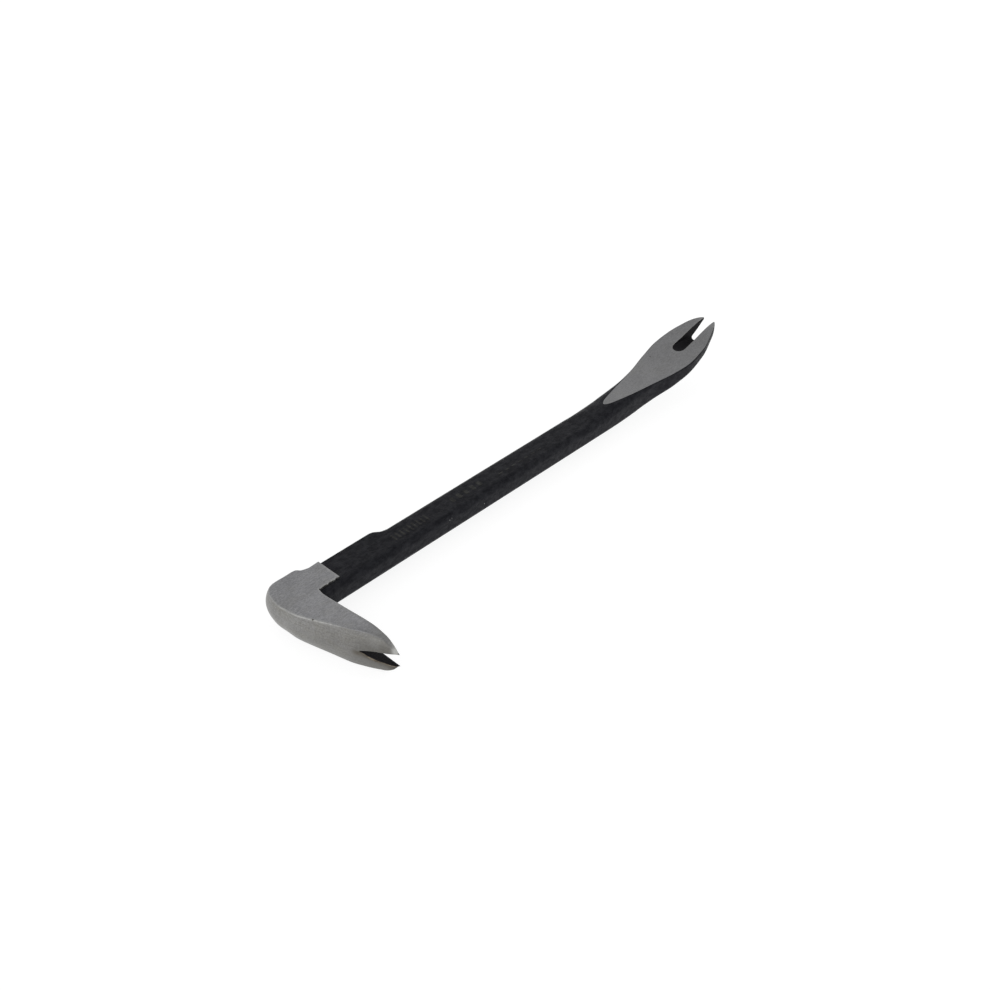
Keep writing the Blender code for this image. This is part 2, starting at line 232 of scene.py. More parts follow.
FACE_Z = [(-47.6, 2.7), (-45.2, 5.2), (-41.0, 7.8), (-34.5, 8.7), (-30.0, 8.4), (-22.0, 7.4),
          (-15.0, 6.6), (-9.0, 5.95), (-2.0, FACE_HALF_THICK), (16.0, FACE_HALF_THICK)]
LOW_CORNER_SPREAD = [(34.0, 1.0), (60.0, 1.3)]
LOW_CORNER_SHARE = 0.8

# Head's edge between side face and outer band, as (x, y, crown of the band beyond that edge)
HEAD_EDGE = [(-110.1, 11.1, 0.8), (-115.0, HEEL_BACK_Y, 1.1), (-120.3, 11.1, 1.4), (-123.3, 9.6, 1.5),
             (-125.2, 6.6, 1.5), (-126.3, 1.5, 1.5), (-126.1, -3.5, 1.6), (-125.5, -8.9, 1.7),
             (-123.5, -15.3, 1.6), (-121.0, -22.4, 1.5), (-118.4, -29.9, 1.5), (-116.3, -34.5, 1.5),
             (-114.0, -40.7, 1.2), (-113.2, -44.0, 0.8), (-112.4, -46.2, 0.4), (-111.5, CLAW_TIP_Y, 0.1)]

# Where the part's source puts the drawing's origin in the row frame
ORIGIN = (-(HEEL_X + TIP_X) / 2,
          -(CLAW_TIP_Y + max(y + crown for _, y, crown in HEAD_EDGE)) / 2,
          max(z for _, z in FACE_Z))

# Colours, linear
STEEL_COOL_DARK = (0.168, 0.169, 0.177)
STEEL_COOL_LIGHT = (0.318, 0.318, 0.326)
STEEL_WARM_DARK = (0.158, 0.154, 0.142)
STEEL_WARM_LIGHT = (0.306, 0.302, 0.286)
# Bright polished steel: real wear on the rims, and painted highlights along them and at the claw's tip
STEEL_WORN_AND_HIGHLIGHT = (0.44, 0.44, 0.425)
STEEL_DULL = (0.155, 0.155, 0.151)
# Dark of the stains, also used for the painted floor shade low on the band near the lower tine
STAIN_AND_SHADE_COLOUR = (0.085, 0.080, 0.070)
TINT_COLOUR = (0.120, 0.098, 0.070)
COAT_DARK = (0.0032, 0.0034, 0.0056)
COAT_LIGHT = (0.0156, 0.0160, 0.0194)
COAT_RUBBED = (0.022, 0.022, 0.023)
MARK_DARK = (0.012, 0.012, 0.012)
MARK_LIGHT = (0.036, 0.036, 0.034)
CHIP_COLOUR = (0.45, 0.45, 0.44)
COAT_SPECULAR = 0.088
SCALE_DARK = (0.0035, 0.0035, 0.005)
SCALE_LIGHT = (0.011, 0.010, 0.011)
EDGE_TINT_DARK = (0.085, 0.068, 0.05)
EDGE_TINT_LIGHT = (0.22, 0.19, 0.15)
FLOOR_COLOUR = (0.2, 0.2, 0.2)
WHITE = (1.0, 1.0, 1.0, 1.0)

# Noise stretches, as features per millimetre along each axis
BAND_LINES = (0.07, 2.2, 1.0)
FACE_LINES = (0.42, 2.6, 0.5)
GRAIN = (1.1, 1.5, 1.5)
CLOUD = (0.10, 0.14, 0.14)
WARM_PATCHES = (0.13, 0.20, 0.33)
HATCH = (0.5, 2.2, 1.0)
WEAR_PATCHES = (0.9, 0.9, 0.9)
EDGE_BLOTCH = (0.9, 0.9, 0.9)
EDGE_GRAIN = (3.0, 3.0, 3.0)
COAT_MOTTLE = (0.35, 0.6, 0.6)
COAT_PEEL = (1.7, 1.7, 1.7)
COAT_RUB = (0.5, 2.2, 2.2)
SCALE_CRUST = (1.3, 1.3, 1.3)

# Depths of the bump maps, in millimetres
STEEL_RELIEF = 0.035
COAT_RELIEF = 0.11
SCALE_RELIEF = 0.08
EDGE_RELIEF = 0.03

# Heat tint below the head's slot: where it fades in and out, by distance from the slot's lower side,
# and by distance from the slot's root
TINT_FADE_IN = (-0.6, 0.2)
TINT_FADE_OUT = (0.9, 3.2)
TINT_ROOT_FADE = (0.5, 4.0)

# Dark stain along the hook's inner rim: its width, and the y range over which it fades out
INNER_RIM_DARK = 1.3
RIM_STAIN_FADE = (FRONT_Y - 18.0, FRONT_Y - 8.0)

# How much duller the flat claw's leaf is than the head, and the length over which that comes in
LEAF_DULLNESS = 0.33
LEAF_FADE = 10.0

# Small marks: stains and painted floor shade, and painted highlights, are (centre, radius, soft edge,
# strength), and chips in the coat are (centre, radius). The large soft stains low on the band (z below -3)
# near the lower tine are painted floor shade, making the band darker towards its lower side; the others are
# stains
STAINS_AND_SHADE = [((-114.5, -42.8, 4.2), 0.8, 2.8, 0.5),
          ((-123.3, -15.5, 6.6), 0.2, 0.4, 0.9),
          ((93.0, 6.7, 9.1), 0.2, 0.3, 0.85),
          ((-118.6, -32.8, -0.2), 0.4, 1.8, 0.3),
          ((-114.5, -44.0, -4.0), 3.0, 17.0, 0.58),
          ((-117.0, -37.0, 2.0), 1.0, 5.0, 0.2),
          ((-112.2, -46.6, -4.4), 1.0, 3.4, 0.75),
          ((-120.5, -26.0, -5.0), 4.0, 15.0, 0.22)]
# Painted highlights at and near the claw's tip
PAINTED_HIGHLIGHTS = [((-112.1, -46.6, 3.9), 0.5, 1.9, 0.8),
                ((-112.5, -40.5, 8.5), 1.5, 7.0, 0.16)]
CHIPS = [((-46.9, -6.6, 2.5), 0.10), ((-45.7, -6.55, 2.75), 0.09), ((-27.7, -6.6, -0.1), 0.09)]

# Light: how bright the sky is at the horizon and overhead, the floor's own glow, and the soft boxes
# as (name, size, power, place). Sizes and places are in metres, in the row frame
SKY_LOW = 1.19
SKY_HIGH = 0.62
FLOOR_GLOW = 0.86
SOFTBOXES = [("right_softbox", 0.45, 1.3, (0.85, -0.95, 0.78)),
             ("left_softbox", 0.5, 1.2, (-1.0, 0.35, 1.0))]
FLOOR_SIZE = 8.0
FLOOR_GAP = 0.0002

# Camera: the azimuth is the way it looks, turning from +Y to +X, and the target is a drawing point
CAMERA_AZIMUTH = 45.9
CAMERA_ELEVATION = 37.8
CAMERA_DISTANCE = 540.3
CAMERA_TARGET = (-21.0, -5.98, 0.19)
CAMERA_LENS = 48.73


# ---------------------------------------------------------------- curves

def smooth(points, x):
    """Value at x on a curve through the points that never overshoots them (monotone cubic)."""
    xs = np.array([p[0] for p in points])
    ys = np.array([p[1] for p in points])
    x = min(max(x, xs[0]), xs[-1])
    steps = np.diff(xs)
    slopes = np.diff(ys) / steps
    tangents = np.zeros(len(xs))
    for i in range(1, len(xs) - 1):
        if slopes[i - 1] * slopes[i] > 0.0:
            left = 2.0 * steps[i] + steps[i - 1]
            right = steps[i] + 2.0 * steps[i - 1]
            tangents[i] = (left + right) / (left / slopes[i - 1] + right / slopes[i])
    i = int(min(np.searchsorted(xs, x, side="right") - 1, len(xs) - 2))
    t = (x - xs[i]) / steps[i]
    start = (1 + 2 * t) * (1 - t) ** 2 * ys[i] + t * (1 - t) ** 2 * steps[i] * tangents[i]
    end = t * t * (3 - 2 * t) * ys[i + 1] + t * t * (t - 1) * steps[i] * tangents[i + 1]
    return float(start + end)


def rounded(points, steps):
    """Points of a Catmull-Rom curve through the given points."""
    pts = [np.array(p, dtype=float) for p in points]
    pts = [2 * pts[0] - pts[1]] + pts + [2 * pts[-1] - pts[-2]]
    out = []
    for i in range(1, len(pts) - 2):
        a, b, c, d = pts[i - 1], pts[i], pts[i + 1], pts[i + 2]
        for k in range(steps):
            t = k / steps
            out.append(0.5 * (2 * b + (c - a) * t + (2 * a - 5 * b + 4 * c - d) * t * t
                              + (3 * b - a - 3 * c + d) * t ** 3))
    out.append(pts[-2])
    return out


def straight(start, end, step):
    """Points from start towards end, about a step apart, without the end itself."""
    a = np.array(start, dtype=float)
    b = np.array(end, dtype=float)
    count = max(1, round(float(np.linalg.norm((b - a)[:2])) / step))
    return [a + (b - a) * k / count for k in range(count)]


# ---------------------------------------------------------------- meshes

def to_row(point):
    """A drawing point in millimetres as a row-frame point in metres."""
    return Vector([(p + o) * MM for p, o in zip(point, ORIGIN)])


def make_object(name, bm, materials=()):
    """Turn a bmesh drawn in millimetres into an object in metres, in the row frame."""
    bmesh.ops.recalc_face_normals(bm, faces=bm.faces)
    for vert in bm.verts:
        vert.co = to_row(vert.co)
    mesh = bpy.data.meshes.new(name)
    bm.to_mesh(mesh)
    bm.free()
    for mat in materials:
        mesh.materials.append(mat)
    obj = bpy.data.objects.new(name, mesh)
    bpy.context.scene.collection.objects.link(obj)
    return obj


def loft(rings, kinds=()):
    """Closed skin over equal rings of 3-D points, with flat ends. A gap in kinds takes its material index."""
    bm = bmesh.new()
    rows = [[bm.verts.new(p) for p in ring] for ring in rings]
    count = len(rows[0])
    for gap, (a, b) in enumerate(zip(rows, rows[1:])):
        for i in range(count):
            j = (i + 1) % count
            bm.faces.new((a[i], a[j], b[j], b[i])).material_index = dict(kinds).get(gap, 0)
    bmesh.ops.triangulate(bm, faces=bm.faces[:])
    bm.faces.new(rows[0])
    bm.faces.new(reversed(rows[-1]))
    return bm


def combine(obj, other, operation):
    """Exact Boolean of obj with other, baked into obj. The other object is used up."""
    mod = obj.modifiers.new(other.name, "BOOLEAN")
    mod.operation = operation
    mod.solver = "EXACT"
    mod.object = other
    mod.material_mode = "TRANSFER"
    depsgraph = bpy.context.evaluated_depsgraph_get()
    mesh = bpy.data.meshes.new_from_object(obj.evaluated_get(depsgraph), depsgraph=depsgraph)
    obj.modifiers.clear()
    obj.data = mesh
    bpy.data.objects.remove(other, do_unlink=True)
    return obj


# ---------------------------------------------------------------- shank and flat claw

def corner(centre_y, centre_z, half_y, half_z, start, steps):
    """Points of a quarter ellipse that starts at the angle start and turns clockwise."""
    out = []
    for k in range(steps + 1):
        angle = start - math.pi / 2 * k / steps
        out.append((centre_y + half_y * math.cos(angle), centre_z + half_z * math.sin(angle)))
    return out


def valley(x, y, z):
    """Depth of the forging's shallow valley, which wanders along the top's front corner."""
    if z < HALF_THICK / 2:
        return 0.0
    middle = VALLEY_Y + VALLEY_WANDER * math.sin(x / VALLEY_PERIOD)
    return smooth(VALLEY_DEPTH, x) * math.exp(-((y - middle) / VALLEY_HALF) ** 2)


def bar_section(x, inset, corner_steps, flat_steps):
    """Cross-section of the shank and the flat claw at x, shrunk by inset on every side."""
    flared = x > TOP_Z[0][0]
    half = smooth(FLARE, x)
    back = half if flared else smooth(BACK_SIDE, x)
    top = smooth(TOP_Z, x)
    bottom = smooth(BOTTOM_Z, x)
    leaf = smooth(LEAF_HALF, x)
    drop = smooth(TOP_CORNER, x)
    rise = smooth(BOTTOM_CORNER, x)
    shank_flat = HALF_WIDTH - SHANK_CORNER
    blend = min(max((x - TOP_Z[0][0]) / (LEAF_HALF[0][0] - TOP_Z[0][0]), 0.0), 1.0)
    flat = shank_flat + (leaf - shank_flat) * blend
    back_round = half - flat if flared else smooth(BACK_CORNER, x)
    front_round = half - flat
    back_drop = drop if flared else smooth(BACK_CORNER, x)
    low_round = min(rise * smooth(LOW_CORNER_SPREAD, x), half * LOW_CORNER_SHARE)
    back_low = low_round if flared else back_round
    back_rise = rise if flared else back_round
    back, front, top, bottom = back - inset, half - inset, top - inset, bottom + inset
    ring = []
    ring += corner(back - back_round, top - back_drop, back_round, back_drop, math.pi / 2, corner_steps)
    ring += corner(back - back_low, bottom + back_rise, back_low, back_rise, 0.0, corner_steps)
    ring += corner(-front + low_round, bottom + rise, low_round, rise, -math.pi / 2, corner_steps)
    ring += corner(-front + front_round, top - drop, front_round, drop, math.pi, corner_steps)
    start, end = ring[-1][0], ring[0][0]
    ring += [(start + (end - start) * k / flat_steps, top) for k in range(1, flat_steps)]
    return [(x, y, z - valley(x, y, z)) for y, z in ring]


def bar_stations(start, end, step):
    """Places along the bar, closest where its shape changes."""
    zones = [(start, PAD_END_X, 2.0 * step), (PAD_END_X, PAD_STEP_END_X, step / 2),
             (PAD_STEP_END_X, TOP_Z[0][0], 2.0 * step), (TOP_Z[0][0], TIP_X, step)]
    places = [start]
    for low, high, gap in zones:
        count = max(2, math.ceil((high - low) / gap))
        first = places[-1] + STATION_GAP
        last = end - STATION_GAP
        places += [x for x in np.linspace(low, high, count + 1) if first < x < last]
    return places + [end]


def fine_bar(start, end):
    """The bar's true surface from start to end."""
    return loft([bar_section(x, 0.0, CORNER_STEPS, FLAT_STEPS) for x in bar_stations(start, end, FINE_STEP)])


def plain_bar(start, end, inset):
    """A coarser bar for surfaces that stay hidden under the coat."""
    stations = bar_stations(start, end, CORE_STEP)
    return loft([bar_section(x, inset, CORE_CORNER_STEPS, CORE_FLAT_STEPS) for x in stations])


def leaf_plate(grow):
    """Block through the flat claw's ground leaf, its outline grown by grow."""
    rings = []
    for x in bar_stations(LEAF_HALF[0][0] - grow, TIP_X + CUT_OVER, FINE_STEP):
        half = smooth(LEAF_HALF, x) + grow
        low = smooth(TOP_Z, x) - LEAF_BELOW
        high = smooth(TOP_Z, x) + LEAF_ABOVE
        rings.append([(x, -half, low), (x, half, low), (x, half, high), (x, -half, high)])
    return loft(rings)


# ---------------------------------------------------------------- head

def flap_front(gap):
    """Wavy front edge of the flap, from the inner face to the flap's end, gap outside it."""
    places = np.linspace(FLAP_INNER_X, FLAP_X, FLAP_FRONT_STEPS + 1)
    points = []
    for x in places:
        fade = min(x - places[0], places[-1] - x, 1.0)
        wave = sum(height * math.sin(x / period * math.tau + phase) for height, period, phase in FLAP_WAVES)
        points.append((x + gap, FLAP_FRONT_Y + fade * wave - gap))
    return points


def head_stations():
    """(x, y, crown, edge round) all the way round the head's plan, counter-clockwise."""
    pad_back = PAD_Y + PAD_LAND
    back_step = [(LAND_END_X, pad_back, 0.0), (*BACK_STEP, BACK_STEP_CROWN)]
    band = [(*p, smooth(BAND_ROUND, p[1])) for p in rounded(back_step + HEAD_EDGE, HEAD_EDGE_STEPS)]
    flap_back = (FLAP_X, pad_back, 0.0, FLAP_ROUND)
    stations = straight((FLAP_X, FLAP_FRONT_Y, 0.0, FLAP_ROUND), flap_back, RUN_STEP)
    stations += straight(flap_back, band[0], RUN_STEP)
    stations += [np.array(p) for p in band]
    stations += straight((INNER_FACE_X, band[-1][1], 0.0, INNER_ROUND),
                         (INNER_FACE_X, FRONT_Y, 0.0, INNER_ROUND), RUN_STEP)
    stations += straight((INNER_FACE_X, FRONT_Y, 0.0, FLAP_ROUND),
                         (FLAP_INNER_X, FLAP_FRONT_Y, 0.0, FLAP_ROUND), RUN_STEP)
    stations += [np.array((x, y, 0.0, FLAP_ROUND)) for x, y in flap_front(0.0)[:-1]]
    return stations


def edge_profile(half, radius):
    """(height share, inset) from the lower side face's rim over the band to the upper one's."""
    upper = [((half - radius) * k / BAND_STEPS, 0.0) for k in range(BAND_STEPS)]
    for k in range(ROUND_STEPS + 1):
        angle = math.pi / 2 * k / ROUND_STEPS
        upper.append((half - radius * (1 - math.sin(angle)), radius * (1 - math.cos(angle))))
    lower = [(-z, inset) for z, inset in reversed(upper[1:])]
    return [(z / half, inset) for z, inset in lower + upper]


def head_rings(stations):
    """Rings round the head from its lower side face up to its upper one."""
    columns = []
    for i, (x, y, crown, radius) in enumerate(stations):
        along = stations[(i + 1) % len(stations)][:2] - stations[i - 1][:2]
        along = along / np.linalg.norm(along)
        column = []
        radius *= min(1.0, TIP_SHARE + (y - CLAW_TIP_Y) / TIP_FADE)
        for share, inset in edge_profile(smooth(FACE_Z, y), radius):
            out = crown * (1.0 - share * share) - inset
            px = x + out * along[1]
            py = y - out * along[0]
            column.append((px, py, share * smooth(FACE_Z, py)))
        columns.append(column)
    return [list(ring) for ring in zip(*columns)]


def inner_points(outline):
    """Grid points well inside an outline, so that a face over it can bend."""
    pts = np.array([p[:2] for p in outline])
    nxt = np.roll(pts, -1, axis=0)
    low, high = pts.min(axis=0), pts.max(axis=0)
    found = []
    for x in np.arange(low[0], high[0], CAP_GRID):
        for y in np.arange(low[1], high[1], CAP_GRID):
            crosses = (pts[:, 1] > y) != (nxt[:, 1] > y)
            rise = np.where(crosses, nxt[:, 1] - pts[:, 1], 1.0)
            hits = crosses & (x < pts[:, 0] + (y - pts[:, 1]) * (nxt[:, 0] - pts[:, 0]) / rise)
            near = np.hypot(pts[:, 0] - x, pts[:, 1] - y).min()
            if hits.sum() % 2 == 1 and near > CAP_GRID / 2:
                found.append((x, y))
    return found


def head_mesh():
    """Head as one closed skin: outer band, inner face and flap with rounded rims, and two side faces."""
    rings = head_rings(head_stations())
    bm = bmesh.new()
    rows = [[bm.verts.new(p) for p in ring] for ring in rings]
    count = len(rows[0])
    for a, b in zip(rows, rows[1:]):
        for i in range(count):
            j = (i + 1) % count
            bm.faces.new((a[i], a[j], b[j], b[i]))
    inner = inner_points(rings[-1])
    flat = [Vector(p[:2]) for p in rings[-1]] + [Vector(p) for p in inner]
    _, _, faces, origins, _, _ = delaunay_2d_cdt(flat, [], [list(range(count))], 1, 1e-6)
    for row, side in ((rows[0], -1.0), (rows[-1], 1.0)):
        verts = row + [bm.verts.new((x, y, side * smooth(FACE_Z, y))) for x, y in inner]
        for face in faces:
            bm.faces.new([verts[origins[v][0]] for v in face])
    return bm


# ---------------------------------------------------------------- slots

def slot_outline(root, end, root_half, mouth_half):
    """Plan of a slot as (distance, offset from its middle): a round root and two straight sides."""
    sides = []
    for k in range(SLOT_SIDE_STEPS):
        share = k / SLOT_SIDE_STEPS
        sides.append((end + (root + root_half - end) * share, mouth_half + (root_half - mouth_half) * share))
    root_points = [(root + root_half * (1.0 + back), root_half * side) for back, side in root_normals()]
    return [(d, -w) for d, w in sides] + root_points + list(reversed(sides))


def root_normals():
    """Outward directions round a slot's root."""
    turns = [math.pi * (k / SLOT_ROOT_STEPS - 0.5) for k in range(SLOT_ROOT_STEPS + 1)]
    return [(-math.cos(turn), math.sin(turn)) for turn in turns]


def slot_normals():
    """Outward direction at each point of a slot's plan."""
    return [(0.0, -1.0)] * SLOT_SIDE_STEPS + root_normals() + [(0.0, 1.0)] * SLOT_SIDE_STEPS


def band_x(distance, z):
    """X of the outer band at a distance along the claw and a height."""
    edge = smooth([(-y, x) for x, y, _ in HEAD_EDGE if y < 0.0], distance)
    crown = smooth([(-y, crown) for _, y, crown in HEAD_EDGE if y < 0.0], distance)
    return edge - crown * (1.0 - min(z / smooth(FACE_Z, -distance), 1.0) ** 2)


def edge_growth(distance):
    """How far the head slot's rolled edge has grown, from 0 at the root to 1."""
    return min(max((distance + HEAD_SLOT_ROOT_Y) / EDGE_GROWTH, 0.0), 1.0)


def rim_point(wide, narrow):
    """Where a side of the head's slot meets the chamfer, as (x, distance, half width), and its depth."""
    far_x = INNER_FACE_X - HEAD_SLOT_NARROWS_IN + HEAD_SLOT_LEAN * (narrow[0] + HEAD_SLOT_ROOT_Y)
    at, half = narrow
    chamfer = HEAD_SLOT_CHAMFER * (ROOT_CHAMFER_SHARE + (1.0 - ROOT_CHAMFER_SHARE) * edge_growth(at))
    for _ in range(RIM_ROUNDS):
        surface = band_x(at, abs(half))
        depth = min(chamfer, (INNER_FACE_X - surface) * CHAMFER_SHARE)
        share = (surface + depth - INNER_FACE_X) / (far_x - INNER_FACE_X)
        at = wide[0] + (narrow[0] - wide[0]) * share
        half = wide[1] + (narrow[1] - wide[1]) * share
    return surface + depth, at, half, depth


def head_slot(dark, tinted_edge, ground):
    """V slot of the hooked claw, with a soft edge where it comes out through the outer band."""
    reach = HEAD_SLOT_REACH
    wide = slot_outline(-HEAD_SLOT_INNER_ROOT_Y, reach, HEAD_SLOT_INNER_HALF, HEAD_SLOT_INNER_MOUTH_HALF)
    narrow = slot_outline(-HEAD_SLOT_ROOT_Y, reach, HEAD_SLOT_ROOT_HALF, HEAD_SLOT_MOUTH_HALF)
    rim = [rim_point(a, b) for a, b in zip(wide, narrow)]
    rings = [[(INNER_FACE_X + HEAD_SLOT_OVER, -d, w) for d, w in wide],
             [(INNER_FACE_X, -d, w) for d, w in wide]]
    turns = [EDGE_TURN * k / EDGE_STEPS for k in range(EDGE_STEPS + 1)]
    steps = [(math.sin(turn), 1.0 - math.cos(turn)) for turn in turns]
    steps.append((steps[-1][0] + math.cos(EDGE_TURN), steps[-1][1] + math.sin(EDGE_TURN)))
    steps.append((steps[-1][0] + HEAD_SLOT_OVER, steps[-1][1]))
    for out, spread in steps:
        ring = []
        for (x, d, w, depth), (back, side) in zip(rim, slot_normals()):
            roll = EDGE_ROLL + (smooth(LOW_ROLL, -d) - EDGE_ROLL) * (1.0 - side) / 2.0
            y = -d - spread * depth * back * EDGE_ROLL
            ring.append((x - out * depth, y, w + spread * depth * roll * side))
        rings.append(ring)
    first = 2 + DARK_STEPS
    tinted = [(gap, 1) for gap in range(first, first + TINTED_STEPS)]
    bright = [(gap, 2) for gap in range(first + TINTED_STEPS, len(rings) - 1)]
    return make_object("head_slot", loft(rings, tinted + bright), [dark, tinted_edge, ground])


def far_slot(dark, edge):
    """U slot of the flat claw: a channel whose floor runs out through the underside."""
    reach = TIP_X + FAR_SLOT_OVER
    wide = slot_outline(FAR_SLOT_ROOT_X, reach, FAR_SLOT_HALF, FAR_SLOT_MOUTH_HALF)
    narrow = slot_outline(FAR_SLOT_EXIT_X, reach, FAR_SLOT_EXIT_HALF, FAR_SLOT_MOUTH_HALF)
    lip_z = smooth(TOP_Z, FAR_SLOT_ROOT_X) - FAR_SLOT_LIP
    exit_z = smooth(BOTTOM_Z, FAR_SLOT_EXIT_X)
    rim = [(x, w, smooth(TOP_Z, x) - FAR_SLOT_CHAMFER) for x, w in wide]
    spread = 2.0 * FAR_SLOT_CHAMFER
    outer = [(x + spread * back, w + spread * side, z + spread)
             for (x, w, z), (back, side) in zip(rim, slot_normals())]
    upper = [(x, w, min(lip_z + FAR_SLOT_LEAN * (x - FAR_SLOT_ROOT_X), z - FAR_SLOT_CHAMFER))
             for x, w, z in rim]
    lower = [(x, w, exit_z + FAR_SLOT_LEAN * (x - FAR_SLOT_EXIT_X)) for x, w in narrow]
    rings = [[(x, w, z + FAR_SLOT_OVER) for x, w, z in outer],
             outer,
             rim,
             upper,
             lower,
             [(x, w, z - FAR_SLOT_OVER) for x, w, z in lower]]
    return make_object("far_slot", loft(rings, [(1, 1)]), [dark, edge])


# ---------------------------------------------------------------- the two pieces

def coat_region(gap):
    """Space of the coat, from the ground flap to near the tips, less gap at each of its ends."""
    start_x = TONGUE_X + gap
    flap_x = FLAP_X + gap
    end_x = COAT_END_X - gap
    outline = [(end_x, -CLEAR), (end_x, CLEAR), (flap_x, CLEAR)]
    outline += reversed(flap_front(gap))
    outline += [(start_x, FRONT_Y), (start_x, -CLEAR)]
    return make_object("coat_region", loft([[(x, y, z) for x, y in outline] for z in (-CLEAR, CLEAR)]))


def coat_room():
    """Cutter that lowers the steel under the coat, but not on the ground leaf."""
    room = make_object("coat_room", plain_bar(ROOM_START_X, TIP_X, -ROOM_OUTSET))
    core = make_object("core", plain_bar(CORE_START_X, COAT_END_X + CUT_OVER, COAT + HAIRLINE))
    combine(room, coat_region(HAIRLINE), "INTERSECT")
    combine(room, core, "DIFFERENCE")
    combine(room, make_object("leaf_land", leaf_plate(-HAIRLINE)), "DIFFERENCE")
    return room


def finish(obj):
    """Smooth shading with sharp edges kept and flat faces left flat."""
    obj.data.shade_smooth()
    obj.data.set_sharp_from_angle(angle=math.radians(SHARP_ANGLE))
    mod = obj.modifiers.new("weighted", "WEIGHTED_NORMAL")
    mod.keep_sharp = True
    mod.weight = 100


def drawn(point):
    """A row-frame point in metres as a drawing point in millimetres."""
    return [p / MM - o for p, o in zip(point, ORIGIN)]


def leave_black(steel, index):
    """Give material index to the unground faces: in the hook, at its root and round the flat claw's tips."""
    for face in steel.data.polygons:
        x, y, z = drawn(face.center)
        hook = face.normal.x > FACES_SHANK and y < FRONT_Y and abs(x - INNER_FACE_X) < INNER_ROUND
        root = INNER_FACE_X - INNER_ROUND < x < FLAP_INNER_X and y < FLAP_FRONT_Y and z < ROOT_TOP_Z
        on_leaf = face.normal.z > FACES_UP and abs(y) < smooth(LEAF_HALF, x) + RIM_SLACK
        if hook or root or (x > COAT_END_X - HAIRLINE and not on_leaf):
            face.material_index = index


def rim_points():
    """(point, length along its rim, wear and painted highlight) for the rims of the ground faces."""
    points = []
    length = 0.0
    stations = head_stations()
    for before, (x, y, _, _) in zip([stations[-1]] + stations, stations):
        length += math.hypot(x - before[0], y - before[1])
        wear = smooth(RIM_WEAR_AND_HIGHLIGHT, y) if x < HEAD_RIM_END_X else FLAP_WEAR_AND_HIGHLIGHT
        points += [((x, y, side * smooth(FACE_Z, y)), length, wear) for side in (-1.0, 1.0)]
    for x in bar_stations(LEAF_HALF[0][0], TIP_X, FINE_STEP):
        points += [((x, side * smooth(LEAF_HALF, x), smooth(TOP_Z, x)), x, LEAF_WEAR_AND_HIGHLIGHT) for side in (-1.0, 1.0)]
    for x, w in slot_outline(FAR_SLOT_ROOT_X, TIP_X, FAR_SLOT_HALF, FAR_SLOT_MOUTH_HALF)[1:-1]:
        points.append(((x, w, smooth(TOP_Z, x)), x, FAR_SLOT_WEAR_AND_HIGHLIGHT))
    return points


def mark_rims(obj):
    """Give each vertex its wear and painted highlight, strongest on a rim, and the length along the nearest
    rim.
    """
    points = rim_points()
    tree = KDTree(len(points))
    for i, (place, _, _) in enumerate(points):
        tree.insert(place, i)
    tree.balance()
    wear = obj.data.attributes.new("wear", "FLOAT", "POINT")
    along = obj.data.attributes.new("along", "FLOAT", "POINT")
    for vert in obj.data.vertices:
        _, i, distance = tree.find(drawn(vert.co))
        wear.data[vert.index].value = points[i][2] * max(0.0, 1.0 - distance / WEAR_AND_HIGHLIGHT_WIDTH)
        along.data[vert.index].value = points[i][1]


def build_steel(ground, dark, slot_edge):
    """The one forging, ground bright on the head and on the flat claw's leaf."""
    steel = make_object("forged_steel_bar", fine_bar(BAR_START_X, TIP_X), [ground])
    combine(steel, make_object("head", head_mesh(), [ground]), "UNION")
    combine(steel, coat_room(), "DIFFERENCE")
    combine(steel, head_slot(dark, slot_edge, ground), "DIFFERENCE")
    combine(steel, far_slot(dark, ground), "DIFFERENCE")
    leave_black(steel, steel.data.materials.find(dark.name))
    mark_rims(steel)
    finish(steel)
    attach(steel, "root")
    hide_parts("forged_bar")
    return steel


def raised_marks(material):
    """Plain raised bars and dots on the shank's top, each a low button with sloping sides."""
    bm = bmesh.new()
    for x, y, half_x, half_y in mark_places():
        rows = []
        for height, grow in MARK_PROFILE:
            ring = []
            for k in range(MARK_STEPS):
                angle = math.tau * k / MARK_STEPS
                reach_x = math.copysign(abs(math.cos(angle)) ** MARK_SQUARENESS, math.cos(angle))
                reach_y = math.copysign(abs(math.sin(angle)) ** MARK_SQUARENESS, math.sin(angle))
                ring.append(bm.verts.new((x + (half_x + grow) * reach_x, y + (half_y + grow) * reach_y,
                                          HALF_THICK + height)))
            rows.append(ring)
        for a, b in zip(rows, rows[1:]):
            for i in range(MARK_STEPS):
                j = (i + 1) % MARK_STEPS
                bm.faces.new((a[i], a[j], b[j], b[i]))
        bm.faces.new(reversed(rows[0]))
        bm.faces.new(rows[-1])
    return make_object("raised_marks", bm, [material])


def mark_places():
    """(x, y, half length, half width) of each raised mark: ribs, then dots, then a broken line."""
    places = [(x, RIB_Y, RIB_HALF, RIB_REACH) for x in np.linspace(*RIB_RUN, RIB_COUNT)]
    places += [(x, DOT_Y, DOT_HALF, DOT_REACH) for x in np.linspace(*DOT_RUN, DOT_COUNT)]
    places += [(x, DASH_Y, DASH_REACH, DASH_HALF) for x in np.linspace(*DASH_RUN, DASH_COUNT)]
    return places


